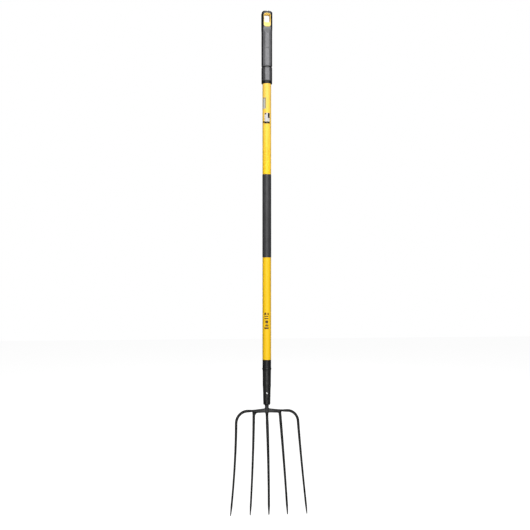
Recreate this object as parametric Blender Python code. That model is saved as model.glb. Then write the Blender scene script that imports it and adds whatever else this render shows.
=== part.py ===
"""A long-handled fork with five tines, modelled as an assembly of separate pieces.

Units are metres and +Z is up. The fork hangs with its tines down and its shaft along Z. The origin
is the middle of the flat facet at the top of the hang hole, where a peg bears. The tines bow
towards -Y. A station is a distance below the grip's top end, and a drop is a distance below the
middle of the crossbar.
"""
import math

import bmesh
import bpy
from mathutils import Vector

# Overall
LENGTH = 1.524
CLEARANCE = 0.0003
ROUND_SIDES = 40
PIN_SIDES = 24
BAR_SIDES = 10
ARC_STEPS = 6
SHARP_DEGREES = 30
MERGE = 0.000001

# Stations along the shaft
HOLE_TOP = 0.0120
GRIP_END = 0.2250
SLEEVE_TOP = 0.5012
SLEEVE_END = 0.7545
COLLAR_TOP = 1.0668
COLLAR_END = 1.0921
FERRULE_END = 1.2049
CROSSBAR = 1.2217
TINE_DROP = LENGTH - CROSSBAR

# Shaft: a structural tube inside a coloured jacket
TUBE_TOP = 0.0665
TUBE_END = 1.1400
TUBE_RADIUS = 0.0112
TUBE_BORE = 0.0082
JACKET_RADIUS = 0.01315
SLEEVE_RADIUS = 0.01355
EDGE_CHAMFER = 0.0004
COLLAR_GROOVES = 3
COLLAR_GROOVE_DEPTH = 0.0003

# End grip: a hard core with the hang hole, inside a soft overmould
GRIP_HALF_WIDTH = 0.0161
GRIP_HEAD_HALF_DEPTH = 0.0142
GRIP_HEAD_CHAMFER = 0.0034
GRIP_BODY_HALF_DEPTH = 0.0156
GRIP_BODY_CHAMFER = 0.0097
GRIP_CORNER_EASE = 0.0012
GRIP_HEAD_END = 0.0555
GRIP_PANEL_TOP = 0.0697
GRIP_PANEL_STEP = 0.1175
GRIP_GROOVE_TOP = 0.1715
GRIP_GROOVE_END = 0.1760
GRIP_GROOVE_DEPTH = 0.0011
GRIP_EDGE = 0.0007
GRIP_LIP_TOP = 0.2155
GRIP_LIP_SLOPE = 0.0020
DOME_HEIGHT = 0.0110
DOME_STEPS = 6
DOME_START = 12
DOME_ROUNDNESS = 1.6

EYELET_TOP = 0.0105
EYELET_END = 0.0521
EYELET_WIDTH = 0.0212
EYELET_HALF_DEPTH = 0.0145
EYELET_TOP_RADIUS = 0.0080
EYELET_END_RADIUS = 0.0065
HOLE_WIDTH = 0.0180
HOLE_HEIGHT = 0.0279
HOLE_RADIUS = 0.0045
CORE_NECK_RADIUS = 0.0110
SPIGOT_RADIUS = TUBE_BORE - CLEARANCE
SPIGOT_END = 0.1200

# Ferrule: (station, outer radius) down its outside, below a rolled bead
BEAD_HEIGHT = 0.0046
BEAD_RADIUS = 0.0142
FERRULE_OUTSIDE = (
    (1.0980, 0.01290),
    (1.1230, 0.01262),
    (1.1444, 0.01260),
    (1.1536, 0.01200),
    (1.1680, 0.01150),
    (1.1872, 0.01122),
    (1.2005, 0.01085),
)
FERRULE_WALL = 0.0011
FERRULE_SHOULDER = 0.0036
DOWEL_TOP = 1.0400
DOWEL_SHOULDER = TUBE_END + CLEARANCE
DOWEL_END = 1.1850
TANG_TIP = 1.1000
TANG_TIP_SHARE = 0.3
TANG_POINT_SHARE = 0.5
TANG_ROOM = 0.0030

# Rivet, which crosses the ferrule, the dowel and the tang along Y
RIVET_STATION = 1.1682
RIVET_RADIUS = 0.0025
RIVET_HEAD_RADIUS = 0.0035
RIVET_HEAD_HEIGHT = 0.0009
RIVET_SEAT = 0.0118
RIVET_CROWN_SHARE = 0.6

# Head: five bars welded side by side along the crossbar
BOW = 0.0600
ROOT_GAP = 0.0063
BAR_ROOT_RADIUS = 0.0026
TINE_ROOT_RADIUS = 0.0039
TINE_TIP_RADIUS = 0.00255
POINT_LENGTH = 0.0280
POINT_BLUNTNESS = 0.36
POINT_TAPER = 0.7
POINT_STOPS = (0.4, 0.7, 0.88, 1)  # shares of the point's length
TINE_STEPS = 18

OUTER_BAR_DROP = 0.0014
OUTER_BAR_RISE = 0.0055
OUTER_BAR_FLAT = 0.0660
SHOULDER_RADII = {-1: 0.0360, 1: 0.0310}
SHOULDER_STEPS = 9
OUTER_BAR_STOPS = (0, 0.25, 0.5, 0.75)  # shares of the straight bar's length
OUTER_TINE = (0.0940, 0.0208, 1.57)  # root x, splay at the tip, splay exponent

INNER_BAR_DROP = 0.00315
INNER_BAR_SLOPE = 0.0855
KNEE_RADIUS = 0.0045
KNEE_STEPS = 5
INNER_BAR_STOPS = (0, 0.5)
INNER_TINE = (0.0400, 0.0161, 1.13)

NECK_RADIUS = 0.0061
BOSS_HALF_WIDTH = ROOT_GAP - CLEARANCE
TANG_STOPS = (0, 0.1, 0.5, 1)  # shares of the way from its tip to the neck
BOSS_STOPS = (  # (drop, half width, half depth) from the neck to the centre tine
    (-0.0085, NECK_RADIUS, 0.0054),
    (-0.0050, BOSS_HALF_WIDTH, 0.0052),
    (0.0000, BOSS_HALF_WIDTH, 0.0050),
    (0.0062, BOSS_HALF_WIDTH, 0.0046),
    (0.0100, 0.0046, 0.0043),
)
CENTRE_TINE_TOP = 0.0150

# Films on the jacket: (top station, end station, start degrees, end degrees) about -Y
FILM_THICKNESS = 0.00015
GREY_LABEL = (0.2682, 0.3017, -66, -16)
WHITE_STICKER = (0.3147, 0.3409, -37, 35)
FILM_STEPS = 10

# Colour, roughness and metallic value of each finish
FINISHES = {
    "grip_rubber": ((0.110, 0.110, 0.115), 0.45, 0.0),
    "core_plastic": ((0.900, 0.620, 0.100), 0.45, 0.0),
    "tube_fibreglass": ((0.620, 0.640, 0.520), 0.60, 0.0),
    "jacket_plastic": ((0.950, 0.560, 0.010), 0.40, 0.0),
    "sleeve_rubber": ((0.030, 0.030, 0.032), 0.50, 0.0),
    "label_film": ((0.420, 0.420, 0.400), 0.45, 0.0),
    "sticker_film": ((0.860, 0.860, 0.840), 0.40, 0.0),
    "collar_plastic": ((0.012, 0.012, 0.013), 0.50, 0.0),
    "ferrule_enamel": ((0.020, 0.020, 0.019), 0.42, 0.3),
    "dowel_wood": ((0.520, 0.360, 0.210), 0.70, 0.0),
    "rivet_steel": ((0.720, 0.720, 0.720), 0.35, 1.0),
    "tine_enamel": ((0.016, 0.016, 0.017), 0.40, 0.3),
}


def clear_scene():
    """Remove every object that the scene starts with."""
    for obj in list(bpy.data.objects):
        bpy.data.objects.remove(obj, do_unlink=True)


def finish(name):
    """Return the named Principled material, made on first use."""
    existing = bpy.data.materials.get(name)
    if existing:
        return existing
    colour, roughness, metallic = FINISHES[name]
    material = bpy.data.materials.new(name)
    material.use_nodes = True
    shader = material.node_tree.nodes["Principled BSDF"]
    shader.inputs["Base Color"].default_value = (*colour, 1.0)
    shader.inputs["Roughness"].default_value = roughness
    shader.inputs["Metallic"].default_value = metallic
    return material


def level(station):
    """Return the Z of a distance below the grip's top end."""
    return HOLE_TOP - station


def place(name, bm, finish_name):
    """Turn a bmesh into a named object with its normals facing out."""
    bmesh.ops.recalc_face_normals(bm, faces=bm.faces)
    mesh = bpy.data.meshes.new(name)
    bm.to_mesh(mesh)
    bm.free()
    mesh.shade_smooth()
    mesh.set_sharp_from_angle(angle=math.radians(SHARP_DEGREES))
    obj = bpy.data.objects.new(name, mesh)
    bpy.context.scene.collection.objects.link(obj)
    if finish_name:
        mesh.materials.append(finish(finish_name))
    return obj


def turned(name, outline, finish_name, sides=ROUND_SIDES):
    """Turn an outline of (radius, station) points about Z, closed unless it ends on the axis."""
    bm = bmesh.new()
    verts = [bm.verts.new((radius, 0, level(station))) for radius, station in outline]
    pairs = list(zip(verts, verts[1:]))
    if outline[0][0] > 0 or outline[-1][0] > 0:
        pairs.append((verts[-1], verts[0]))
    edges = [bm.edges.new(pair) for pair in pairs]
    about_z = {"cent": (0, 0, 0), "axis": (0, 0, 1), "angle": math.tau}
    bmesh.ops.spin(bm, geom=verts + edges, steps=sides, use_merge=True, **about_z)
    bmesh.ops.remove_doubles(bm, verts=bm.verts, dist=MERGE)
    return place(name, bm, finish_name)


def lofted(name, rings, finish_name):
    """Skin equal rings of points from first to last and close both ends."""
    bm = bmesh.new()
    loops = [[bm.verts.new(point) for point in ring] for ring in rings]
    for upper, lower in zip(loops, loops[1:]):
        for i in range(len(upper)):
            bm.faces.new((upper[i - 1], upper[i], lower[i], lower[i - 1]))
    bm.faces.new(loops[0])
    bm.faces.new(loops[-1])
    return place(name, bm, finish_name)


def swept(name, stops, finish_name):
    """Sweep an ellipse along stops of (centre, half width, half depth), depth being along Y."""
    rings = []
    for i, (centre, half_width, half_depth) in enumerate(stops):
        ahead = stops[min(i + 1, len(stops) - 1)][0]
        behind = stops[max(i - 1, 0)][0]
        along = (ahead - behind).normalized()
        across = along.cross(Vector((0, 1, 0))).normalized()
        through = across.cross(along)
        ring = []
        for k in range(BAR_SIDES):
            angle = math.tau * (k + 0.5) / BAR_SIDES
            sideways = across * half_width * math.cos(angle)
            ring.append(centre + sideways + through * half_depth * math.sin(angle))
        rings.append(ring)
    return lofted(name, rings, finish_name)


def corner(centre, radius, start_degrees):
    """Return the points of a quarter circle in XZ, anticlockwise from a start angle."""
    points = []
    for k in range(ARC_STEPS + 1):
        angle = math.radians(start_degrees + 90 * k / ARC_STEPS)
        points.append((centre[0] + radius * math.cos(angle), centre[1] + radius * math.sin(angle)))
    return points


def rounded_block(name, width, top, end, top_radius, end_radius, half_depth, finish_name):
    """Make an upright block between two stations, with round corners seen along Y."""
    half = width / 2
    upper = level(top) - top_radius
    lower = level(end) + end_radius
    outline = corner((half - top_radius, upper), top_radius, 0)
    outline += corner((top_radius - half, upper), top_radius, 90)
    outline += corner((end_radius - half, lower), end_radius, 180)
    outline += corner((half - end_radius, lower), end_radius, 270)
    rings = [[(x, y, z) for x, z in outline] for y in (-half_depth, half_depth)]
    return lofted(name, rings, finish_name)


def crosspin(name, outline, finish_name):
    """Turn an outline of (radius, y) points about the rivet's axis, which runs along Y."""
    pin = turned(name, outline, finish_name, sides=PIN_SIDES)
    pin.rotation_euler.x = math.pi / 2
    pin.location = (0, HOLE_TOP, level(RIVET_STATION))
    return pin


def guide(obj):
    """Mark an object as a cutter or tool, which is no part of the fork."""
    obj.hide_render = True
    obj.display_type = "WIRE"
    return obj


def combine(target, tool, operation):
    """Apply a Boolean of a guide object to a target through a modifier."""
    modifier = target.modifiers.new(tool.name, "BOOLEAN")
    modifier.operation = operation
    modifier.solver = "EXACT"
    modifier.object = guide(tool)


def grip_ring(station, half_width, half_depth, chamfer):
    """Return a ring of the grip: a rectangle with wide chamfers and eased corners."""
    x, y, c = half_width, half_depth, chamfer
    right = [(x - c, -y), (x, c - y), (x, y - c), (x - c, y)]
    corners = right + [(-corner_x, corner_y) for corner_x, corner_y in reversed(right)]
    ring = []
    for i, here in enumerate(corners):
        for other in (corners[i - 1], corners[(i + 1) % len(corners)]):
            run = Vector(other) - Vector(here)
            eased = Vector(here) + run.normalized() * min(GRIP_CORNER_EASE, run.length / 3)
            ring.append((eased.x, eased.y, level(station)))
    return ring


def grip_rings():
    """Return the overmould's outer rings from its domed top down to its lip."""
    width, depth = GRIP_HALF_WIDTH, GRIP_BODY_HALF_DEPTH
    domed = []
    for k in range(DOME_STEPS + 1):
        angle = math.radians(DOME_START + (90 - DOME_START) * k / DOME_STEPS)
        station = DOME_HEIGHT * (1 - math.cos(angle) / math.cos(math.radians(DOME_START)))
        share = math.sin(angle)
        deep = share ** DOME_ROUNDNESS
        size = (width * share, GRIP_HEAD_HALF_DEPTH * deep, GRIP_HEAD_CHAMFER * deep)
        domed.append(grip_ring(station, *size))
    head = [grip_ring(GRIP_HEAD_END, width, GRIP_HEAD_HALF_DEPTH, GRIP_HEAD_CHAMFER)]
    groove = GRIP_GROOVE_DEPTH
    body = [
        grip_ring(station, width - narrower, depth - shallower, GRIP_BODY_CHAMFER)
        for station, narrower, shallower in (
            (GRIP_PANEL_TOP, 0, 0),
            (GRIP_PANEL_STEP, 0, 0),
            (GRIP_GROOVE_TOP, 0, 0),
            (GRIP_GROOVE_TOP + GRIP_EDGE, groove, groove),
            (GRIP_GROOVE_END - GRIP_EDGE, groove, groove),
            (GRIP_GROOVE_END, 0, 0),
            (GRIP_LIP_TOP, 0, 0),
            (GRIP_END - GRIP_EDGE, 0, GRIP_LIP_SLOPE),
            (GRIP_END, GRIP_EDGE, GRIP_LIP_SLOPE + GRIP_EDGE),
        )
    ]
    return domed + head + body


def end_grip_overmould():
    """Make the soft outer grip, cut out for the core, the tube and the jacket."""
    grip = lofted("end_grip_overmould", grip_rings(), "grip_rubber")
    window = rounded_block(
        "cut_window",
        EYELET_WIDTH + 2 * CLEARANCE,
        EYELET_TOP - CLEARANCE,
        EYELET_END + CLEARANCE,
        EYELET_TOP_RADIUS + CLEARANCE,
        EYELET_END_RADIUS + CLEARANCE,
        GRIP_HALF_WIDTH * 2,
        None,
    )
    combine(grip, window, "DIFFERENCE")
    neck_room = CORE_NECK_RADIUS + CLEARANCE
    bore = JACKET_RADIUS + CLEARANCE
    bore_top = TUBE_TOP - CLEARANCE
    room_top = EYELET_END - HOLE_RADIUS
    past_end = GRIP_END + bore
    outline = [(0, room_top), (neck_room, room_top), (neck_room, bore_top)]
    outline += [(bore, bore_top), (bore, past_end), (0, past_end)]
    combine(grip, turned("cut_grip_bore", outline, None), "DIFFERENCE")


def end_grip_core():
    """Make the hard core: an eyelet round the hang hole on a stem that plugs the tube."""
    core = rounded_block(
        "end_grip_core",
        EYELET_WIDTH,
        EYELET_TOP,
        EYELET_END,
        EYELET_TOP_RADIUS,
        EYELET_END_RADIUS,
        EYELET_HALF_DEPTH,
        "core_plastic",
    )
    hole = rounded_block(
        "cut_hang_hole",
        HOLE_WIDTH,
        HOLE_TOP,
        HOLE_TOP + HOLE_HEIGHT,
        HOLE_RADIUS,
        HOLE_RADIUS,
        EYELET_HALF_DEPTH * 2,
        None,
    )
    combine(core, hole, "DIFFERENCE")
    stem_top = EYELET_END - HOLE_RADIUS
    stem_step = TUBE_TOP - 2 * CLEARANCE
    outline = [(0, stem_top), (CORE_NECK_RADIUS, stem_top), (CORE_NECK_RADIUS, stem_step)]
    outline += [(SPIGOT_RADIUS, stem_step), (SPIGOT_RADIUS, SPIGOT_END), (0, SPIGOT_END)]
    combine(core, turned("add_stem", outline, None), "UNION")


def ring_sleeve(name, bore, radius, top, end, finish_name, chamfer=EDGE_CHAMFER):
    """Make a tube between two stations with its outer edges chamfered."""
    outline = [(bore, top), (radius - chamfer, top), (radius, top + chamfer)]
    outline += [(radius, end - chamfer), (radius - chamfer, end), (bore, end)]
    return turned(name, outline, finish_name)


def shaft_pieces():
    """Make the structural tube, the two jackets over it and the grip sleeve between them."""
    ring_sleeve("shaft_tube", TUBE_BORE, TUBE_RADIUS, TUBE_TOP, TUBE_END, "tube_fibreglass")
    bore = TUBE_RADIUS + CLEARANCE
    half_gap = CLEARANCE / 2
    spans = (
        ("shaft_jacket_upper", JACKET_RADIUS, TUBE_TOP, SLEEVE_TOP - half_gap, "jacket_plastic"),
        ("mid_grip_sleeve", SLEEVE_RADIUS, SLEEVE_TOP + half_gap, SLEEVE_END - half_gap, "sleeve_rubber"),
        ("shaft_jacket_lower", JACKET_RADIUS, SLEEVE_END + half_gap, COLLAR_TOP - half_gap, "jacket_plastic"),
    )
    for name, radius, top, end, finish_name in spans:
        ring_sleeve(name, bore, radius, top, end, finish_name)


def ferrule_collar():
    """Make the plastic collar that covers the joint, with shallow grooves round it."""
    top = COLLAR_TOP + CLEARANCE / 2
    end = COLLAR_END - CLEARANCE / 2
    pitch = (end - top) / (COLLAR_GROOVES + 1)
    outline = [(TUBE_RADIUS + CLEARANCE, top), (JACKET_RADIUS, top)]
    for k in range(COLLAR_GROOVES):
        middle = top + pitch * (k + 1)
        outline.append((JACKET_RADIUS, middle - 2 * COLLAR_GROOVE_DEPTH))
        outline.append((JACKET_RADIUS - COLLAR_GROOVE_DEPTH, middle))
        outline.append((JACKET_RADIUS, middle + 2 * COLLAR_GROOVE_DEPTH))
    outline += [(JACKET_RADIUS, end), (TUBE_RADIUS + CLEARANCE, end)]
    turned("ferrule_collar", outline, "collar_plastic")


def ferrule_bore():
    """Return the inside of the ferrule as (radius, station), top to bottom."""
    inside = []
    for station, radius in FERRULE_OUTSIDE:
        least = TUBE_RADIUS + CLEARANCE if station < TUBE_END else 0
        inside.append((max(radius - FERRULE_WALL, least), station))
    return inside


def ferrule():
    """Make the tapered steel socket with its rolled bead, round shoulder and rivet holes."""
    top = COLLAR_END
    outline = [(TUBE_RADIUS + CLEARANCE, top)]
    for k in range(ARC_STEPS + 1):
        angle = math.pi * k / ARC_STEPS
        bulge = (BEAD_RADIUS - JACKET_RADIUS) * math.sin(angle)
        outline.append((JACKET_RADIUS + bulge, top + BEAD_HEIGHT * (1 - math.cos(angle)) / 2))
    outline += [(radius, station) for station, radius in FERRULE_OUTSIDE]
    lowest = FERRULE_OUTSIDE[-1][1]
    for k in range(1, ARC_STEPS + 1):
        angle = math.pi / 2 * k / ARC_STEPS
        outline.append((
            lowest - FERRULE_SHOULDER * (1 - math.cos(angle)),
            FERRULE_END - FERRULE_SHOULDER * (1 - math.sin(angle)),
        ))
    throat = NECK_RADIUS + CLEARANCE
    outline += [(throat, FERRULE_END), (throat, FERRULE_END - FERRULE_WALL)]
    outline += reversed(ferrule_bore())
    shell = turned("ferrule", outline, "ferrule_enamel")
    combine(shell, rivet_room("cut_ferrule_rivet"), "DIFFERENCE")


def rivet_room(name):
    """Return a cutter that leaves room for the rivet's shank right through."""
    reach = GRIP_HALF_WIDTH
    radius = RIVET_RADIUS + CLEARANCE
    return crosspin(name, [(0, -reach), (radius, -reach), (radius, reach), (0, reach)], None)


def tang_radius(station):
    """Return the tang's radius, which grows steadily from its tip to the neck."""
    share = (station - TANG_TIP) / (FERRULE_END - TANG_TIP)
    return NECK_RADIUS * (TANG_TIP_SHARE + (1 - TANG_TIP_SHARE) * share)


def core_dowel():
    """Make the wooden dowel that fills the socket, steps up into the tube and holds the tang."""
    spigot = TUBE_BORE - CLEARANCE
    bore_top = TANG_TIP - TANG_ROOM
    below = [(radius - CLEARANCE, station) for radius, station in ferrule_bore() if station > DOWEL_SHOULDER]
    socket = [(radius, station) for radius, station in below if station < DOWEL_END]
    outline = [(0, DOWEL_TOP), (spigot, DOWEL_TOP), (spigot, DOWEL_SHOULDER), (socket[0][0], DOWEL_SHOULDER)]
    outline += socket
    outline.append((below[len(socket)][0], DOWEL_END))
    outline.append((tang_radius(DOWEL_END) + CLEARANCE, DOWEL_END))
    outline.append((tang_radius(TANG_TIP) + CLEARANCE, bore_top))
    outline.append((0, bore_top))
    dowel = turned("core_dowel", outline, "dowel_wood")
    combine(dowel, rivet_room("cut_dowel_rivet"), "DIFFERENCE")


def ferrule_rivet():
    """Make the through rivet with a low domed head at each end."""
    crown = RIVET_SEAT + RIVET_HEAD_HEIGHT
    rim = RIVET_SEAT + RIVET_HEAD_HEIGHT / 3
    half = [(RIVET_RADIUS, RIVET_SEAT), (RIVET_HEAD_RADIUS, RIVET_SEAT), (RIVET_HEAD_RADIUS, rim)]
    half += [(RIVET_HEAD_RADIUS * RIVET_CROWN_SHARE, crown), (0, crown)]
    outline = [(radius, -y) for radius, y in reversed(half)] + half
    crosspin("ferrule_rivet", outline, "rivet_steel")


def on_blade(x, drop):
    """Return a point on the curved sheet that all the tines lie in."""
    share = min(max(drop / TINE_DROP, 0), 1)
    return Vector((x, -BOW * (1 - (1 - share) ** 2), level(CROSSBAR + drop)))


def tine_radius(drop):
    """Return a tine's radius, which thins from its root and then comes to a blunt point."""
    share = 1 - drop / TINE_DROP
    radius = TINE_TIP_RADIUS + (TINE_ROOT_RADIUS - TINE_TIP_RADIUS) * share ** 2
    to_tip = (TINE_DROP - drop) / POINT_LENGTH
    if to_tip < 1:
        radius *= POINT_BLUNTNESS + (1 - POINT_BLUNTNESS) * to_tip ** POINT_TAPER
    return radius


def tine_x(shape, drop):
    """Return how far out a tine is at a drop."""
    root, splay, exponent = shape
    return root + splay * (drop / TINE_DROP) ** exponent


def tine_run(side, shape, start):
    """Return the stops of a tine from a drop to its tip, closer together along the point."""
    drops = [start + (TINE_DROP - POINT_LENGTH - start) * k / TINE_STEPS for k in range(TINE_STEPS + 1)]
    drops += [TINE_DROP - POINT_LENGTH * (1 - share) for share in POINT_STOPS]
    stops = []
    for drop in drops:
        size = tine_radius(drop)
        stops.append((on_blade(side * tine_x(shape, drop), drop), size, size))
    return stops


def bend(side, start, start_angle, radius, end_angle, steps, start_size, end_size):
    """Return the stops of a round bend in the blade, turning from outward to downward."""
    centre_x = start[0] - radius * math.sin(start_angle)
    centre_drop = start[1] + radius * math.cos(start_angle)
    stops = []
    for k in range(steps):
        share = k / steps
        angle = start_angle + (end_angle - start_angle) * share
        x = centre_x + radius * math.sin(angle)
        drop = centre_drop - radius * math.cos(angle)
        size = start_size + (end_size - start_size) * share
        stops.append((on_blade(side * x, drop), size, size))
    return stops


def splay_angle(shape, drop):
    """Return a tine's direction at a drop, as the turn from straight out along X."""
    _, splay, exponent = shape
    slope = splay * exponent / TINE_DROP * (drop / TINE_DROP) ** (exponent - 1)
    return math.pi / 2 - math.atan(slope)


def outer_tine(name, side):
    """Make an outer tine: along the top of the crossbar, round the shoulder and down."""
    shoulder = SHOULDER_RADII[side]
    turn = splay_angle(OUTER_TINE, OUTER_BAR_DROP + shoulder)
    landing = OUTER_BAR_DROP + shoulder * (1 - math.cos(turn))
    start_x = tine_x(OUTER_TINE, landing) - shoulder * math.sin(turn)
    stops = []
    for share in OUTER_BAR_STOPS:
        x = ROOT_GAP + (start_x - ROOT_GAP) * share
        drop = OUTER_BAR_DROP - OUTER_BAR_RISE * (1 - x / OUTER_BAR_FLAT) ** 2
        stops.append((on_blade(side * x, drop), BAR_ROOT_RADIUS, BAR_ROOT_RADIUS))
    start = (start_x, OUTER_BAR_DROP)
    stops += bend(side, start, 0, shoulder, turn, SHOULDER_STEPS, TINE_ROOT_RADIUS, tine_radius(landing))
    stops += tine_run(side, OUTER_TINE, landing)
    return swept(name, stops, "tine_enamel")


def inner_tine(name, side):
    """Make an inner tine: along the underside of the crossbar, round a tight knee and down."""
    slope = math.atan(INNER_BAR_SLOPE)
    knee_drop = INNER_BAR_DROP + INNER_BAR_SLOPE * (INNER_TINE[0] - KNEE_RADIUS - ROOT_GAP)
    turn = splay_angle(INNER_TINE, knee_drop + KNEE_RADIUS)
    landing = knee_drop + KNEE_RADIUS * (math.cos(slope) - math.cos(turn))
    start_x = tine_x(INNER_TINE, landing) - KNEE_RADIUS * (math.sin(turn) - math.sin(slope))
    stops = []
    for share in INNER_BAR_STOPS:
        x = ROOT_GAP + (start_x - ROOT_GAP) * share
        drop = INNER_BAR_DROP + INNER_BAR_SLOPE * (x - ROOT_GAP)
        stops.append((on_blade(side * x, drop), BAR_ROOT_RADIUS, BAR_ROOT_RADIUS))
    start = (start_x, knee_drop)
    stops += bend(side, start, slope, KNEE_RADIUS, turn, KNEE_STEPS, BAR_ROOT_RADIUS, tine_radius(landing))
    stops += tine_run(side, INNER_TINE, landing)
    return swept(name, stops, "tine_enamel")


def centre_tine():
    """Make the middle bar: tang, neck, the boss the other bars are welded to, and its tine."""
    stops = []
    for share in TANG_STOPS:
        station = TANG_TIP + (FERRULE_END - TANG_TIP) * share
        radius = tang_radius(station) * (1 if share > 0 else TANG_POINT_SHARE)
        stops.append((Vector((0, 0, level(station))), radius, radius))
    for drop, half_width, half_depth in BOSS_STOPS:
        stops.append((on_blade(0, drop), half_width, half_depth))
    stops += tine_run(0, (0, 0, 1), CENTRE_TINE_TOP)
    bar = swept("centre_tine_and_tang", stops, "tine_enamel")
    combine(bar, rivet_room("cut_tang_rivet"), "DIFFERENCE")


def film(name, place_on_shaft, finish_name):
    """Make a thin label bent round the jacket."""
    top, end, start, stop = place_on_shaft
    inner = JACKET_RADIUS + CLEARANCE
    angles = [math.radians(start + (stop - start) * k / FILM_STEPS) for k in range(FILM_STEPS + 1)]
    outline = [(inner, angle) for angle in angles]
    outline += [(inner + FILM_THICKNESS, angle) for angle in reversed(angles)]
    rings = [
        [(radius * math.sin(angle), -radius * math.cos(angle), level(station)) for radius, angle in outline]
        for station in (top, end)
    ]
    return lofted(name, rings, finish_name)


def build():
    """Make every piece of the fork."""
    clear_scene()
    end_grip_overmould()
    end_grip_core()
    shaft_pieces()
    film("grey_label", GREY_LABEL, "label_film")
    film("white_sticker", WHITE_STICKER, "sticker_film")
    ferrule_collar()
    ferrule()
    core_dowel()
    ferrule_rivet()
    centre_tine()
    for side, word in ((-1, "left"), (1, "right")):
        outer_tine("outer_tine_" + word, side)
        inner_tine("inner_tine_" + word, side)


build()
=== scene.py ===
"""The looks of a long-handled fork with five tines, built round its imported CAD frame.

Units are metres and +Z is up. The origin is the top of the hang hole, and the tines bow towards -Y.
A station is a distance below the grip's top end, and a drop is a distance below the crossbar.
"""
import math

import bmesh
import bpy
import numpy as np
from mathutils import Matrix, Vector, noise


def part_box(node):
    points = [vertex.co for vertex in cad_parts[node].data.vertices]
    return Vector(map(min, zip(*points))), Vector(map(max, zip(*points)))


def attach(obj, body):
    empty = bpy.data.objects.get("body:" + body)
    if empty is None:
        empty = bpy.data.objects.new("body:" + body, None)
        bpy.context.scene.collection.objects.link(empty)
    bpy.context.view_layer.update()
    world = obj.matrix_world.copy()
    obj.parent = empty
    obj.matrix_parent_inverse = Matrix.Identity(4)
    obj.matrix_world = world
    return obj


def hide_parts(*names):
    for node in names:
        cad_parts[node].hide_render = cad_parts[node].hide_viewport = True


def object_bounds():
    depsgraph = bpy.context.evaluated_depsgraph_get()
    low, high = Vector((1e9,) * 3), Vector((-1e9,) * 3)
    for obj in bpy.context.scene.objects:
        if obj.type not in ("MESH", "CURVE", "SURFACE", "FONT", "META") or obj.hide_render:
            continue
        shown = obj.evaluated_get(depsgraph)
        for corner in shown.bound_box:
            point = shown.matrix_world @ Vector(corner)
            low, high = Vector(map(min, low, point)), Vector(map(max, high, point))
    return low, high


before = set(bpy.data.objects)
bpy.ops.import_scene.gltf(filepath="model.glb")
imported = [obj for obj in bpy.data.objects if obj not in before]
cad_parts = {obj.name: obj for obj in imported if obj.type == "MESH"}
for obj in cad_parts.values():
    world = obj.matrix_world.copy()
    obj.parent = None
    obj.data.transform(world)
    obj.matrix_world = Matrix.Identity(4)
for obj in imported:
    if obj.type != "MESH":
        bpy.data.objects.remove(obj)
cad_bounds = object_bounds()

ROUND_SIDES = 96
SHARP_DEGREES = 35
QUARTER_TURN = [math.radians(degrees) for degrees in range(0, 91, 15)]
AXIS = 0.0001  # radius at which a turned body closes
LEAST_RADIUS = 0.0002

# Sizes read from the frame
GRIP_LOW, GRIP_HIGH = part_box("end_grip_overmould")
CORE_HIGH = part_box("end_grip_core")[1]
JACKET_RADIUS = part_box("shaft_jacket_upper")[1].x
TUBE_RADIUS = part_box("shaft_tube")[1].x
FERRULE_LOW, FERRULE_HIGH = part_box("ferrule")
TOP = GRIP_HIGH.z
GRIP_END = TOP - GRIP_LOW.z
FERRULE_TOP = TOP - FERRULE_HIGH.z
FERRULE_END = TOP - FERRULE_LOW.z
FIT = 0.0003

# End grip
GRIP_HALF_WIDTH = 0.0161
GRIP_HEAD = (0.0142, 0.0034)  # half depth, chamfer
GRIP_BODY = (0.0156, 0.0097)
GRIP_HEAD_END = 0.0555
GRIP_PANEL_TOP = 0.0697
GRIP_CORNER_EASE = 0.0018
GRIP_SIDES = 176
GRIP_PITCH = 0.0007
GRIP_GROOVE = (0.1715, 0.1760, 0.0011)
GRIP_EDGE = 0.0007
GRIP_LIP_TOP = 0.2155
GRIP_LIP_SLOPE = 0.0020
DOME_HEIGHT = 0.0110
DOME_START = 6
DOME_STEPS = 20
DOME_ROUNDNESS = 1.6
PADS = ((0.0712, 0.1162), (0.1188, 0.1700), (0.1782, 0.2138))
PAD_HALF_WIDTH = 0.0054
PAD_CORNER = 0.0012
PAD_MOAT_WIDTH = 0.0011
PAD_MOAT_DEPTH = 0.0004
PAD_MOAT_REACH = 0.75
KNURL_PITCH = 0.0008
KNURL_LEAN = 0.6
KNURL_BUMP = (0.00025, 0.7)  # depth, strength
PAD_FACE_SHARE = 0.9  # share of the half depth beyond which a face belongs to a pad
GREY_PANEL = (0.0113, 0.0136)  # half width where the grey ends and the black begins
HEAD_PANEL = (0.0086, 0.0106)  # the same round the eyelet, where the grey is narrower
HEAD_PANEL_END = (0.0540, 0.0582)  # stations between which the head's panel widens
GROOVE_PAINTED_SHADE_END = 0.00054  # painted shade: the groove's black stops this far above its end
LOWER_CHAMFER_PAINTED_SHADE = 0.55  # painted shade: how black the chamfers are below the groove
GRIP_BLACK = (0.010, 0.010, 0.011)
GRIP_GREY = (0.125, 0.125, 0.131)

# Eyelet, which lines the hang hole
EYELET = (0.0105, 0.0521, 0.0106, 0.0080, 0.0065)  # top, end, half width, top and end corner radii
HOLE = (0.0120, 0.0399, 0.0090, 0.0045, 0.0045)
EYELET_RIM = 0.0006
EYELET_SIDES = 192
BORE_SIDES = 64
STEM_RADIUS = 0.0110
STEM_STEP = 0.0659
SPIGOT_RADIUS = 0.0079
SPIGOT_END = 0.1200
SPIGOT_CHAMFER = 0.001
STEM_OVERLAP = 0.0040
WINDOW_LIP = 0.0010
WINDOW_ROUNDNESS = 0.98
FACING_SHARE = 0.6  # share of the half width beyond which a point is on the front or back
FACING_EDGE = 0.001

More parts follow.
